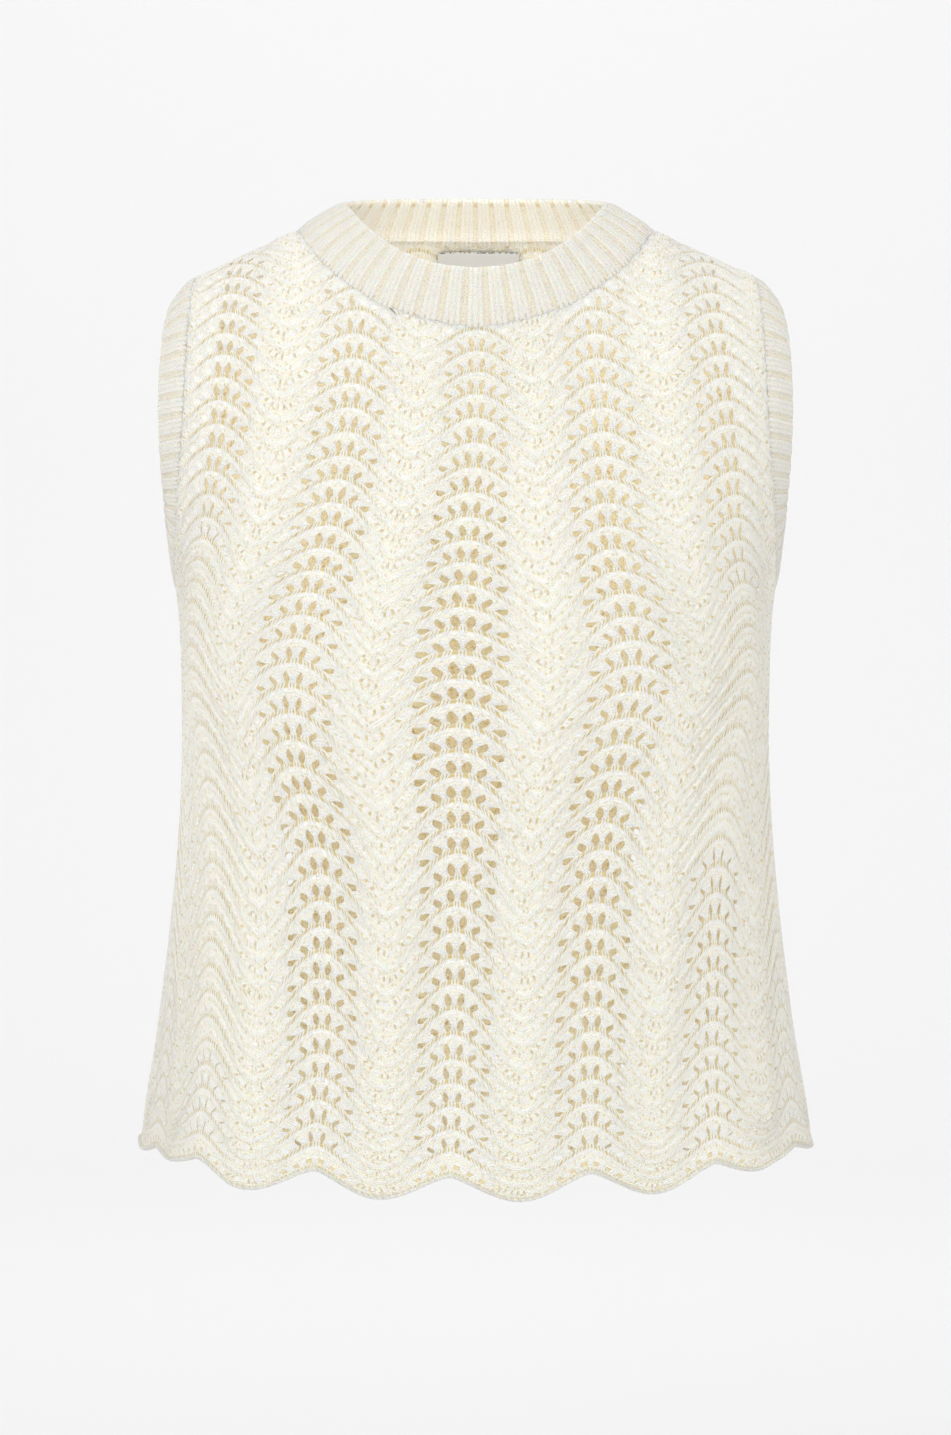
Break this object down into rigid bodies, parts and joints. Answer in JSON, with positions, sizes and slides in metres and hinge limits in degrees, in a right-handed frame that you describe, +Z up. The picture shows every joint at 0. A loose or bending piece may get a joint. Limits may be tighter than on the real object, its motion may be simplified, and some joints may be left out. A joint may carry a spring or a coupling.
{
  "type": "crochet top, worn shape, held up by its wearer",
  "caption": "Sleeveless cream cotton top in feather-and-fan lace with a ribbed crew neck, ribbed armhole bands, a scalloped hem and a blank neck label, in its worn hollow shape.",
  "frame": {"origin": "midway between the neck ends of the two shoulder lines, where the wearer's shoulders hold the garment up", "axes": "+X to the wearer's left, -Y out of the front, +Z up"},
  "size_m": [0.3864, 0.2489, 0.5696],
  "materials": {
    "cream_lace": "soft matt cotton",
    "cream_rib": "soft matt cotton",
    "grey_satin": "satin weave"
  },
  "bodies": {
    "root": {"front_panel": "cream_lace", "back_panel": "cream_lace", "neckband": "cream_rib", "armhole_band_left": "cream_rib", "armhole_band_right": "cream_rib", "neck_label": "grey_satin"}
  },
  "joints": []
}
